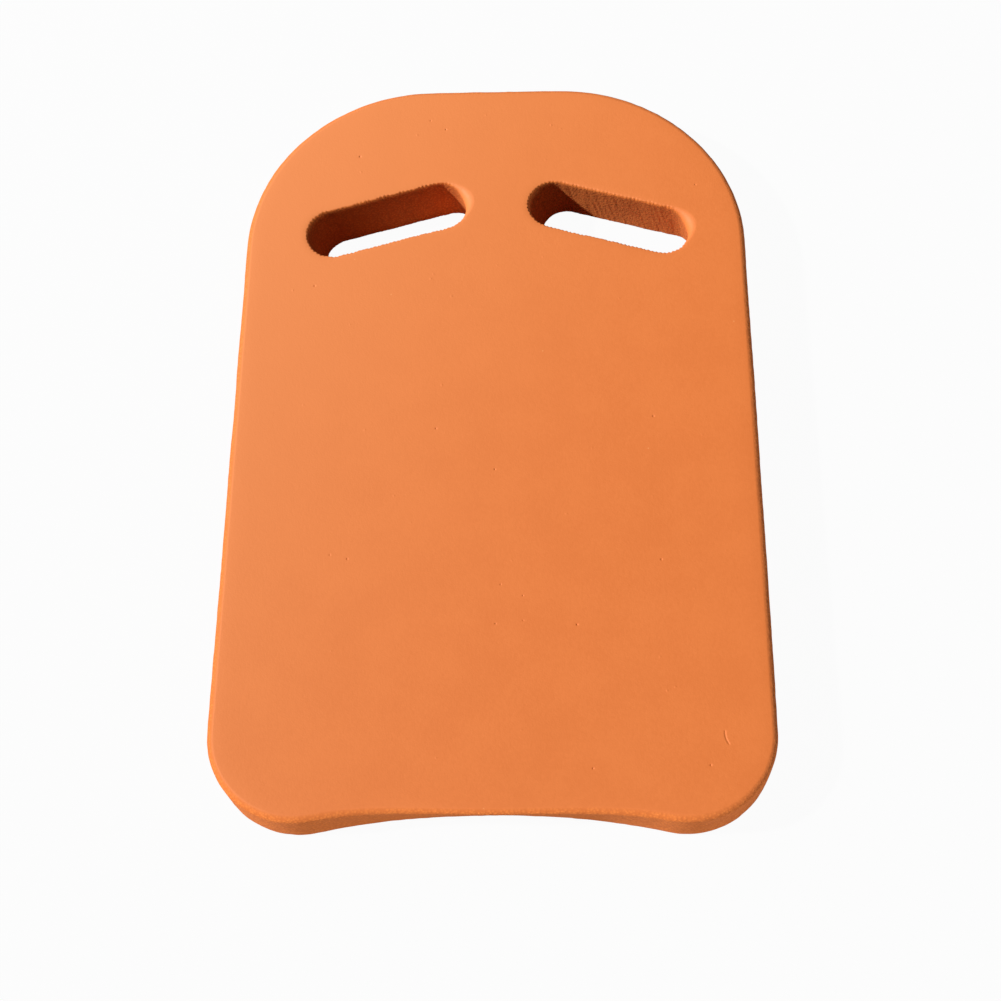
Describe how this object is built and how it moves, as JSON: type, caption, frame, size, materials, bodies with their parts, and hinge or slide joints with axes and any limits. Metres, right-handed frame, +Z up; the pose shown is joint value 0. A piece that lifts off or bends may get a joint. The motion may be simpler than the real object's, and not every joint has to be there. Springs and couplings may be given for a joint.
{
  "type": "kickboard",
  "caption": "Flat closed-cell foam swimming float with a rounded nose, slanted grip slots through it and a shallow hollowed tail.",
  "frame": {"origin": "on the underside, at the middle of the board's length and width", "axes": "+Y towards the nose, where the grip slots are; +Z up out of the top face; +X to the right, seen from the tail"},
  "size_m": [0.265, 0.4, 0.03],
  "materials": {
    "orange_foam": "matte"
  },
  "bodies": {
    "root": {"foam_board": "orange_foam"}
  },
  "joints": []
}
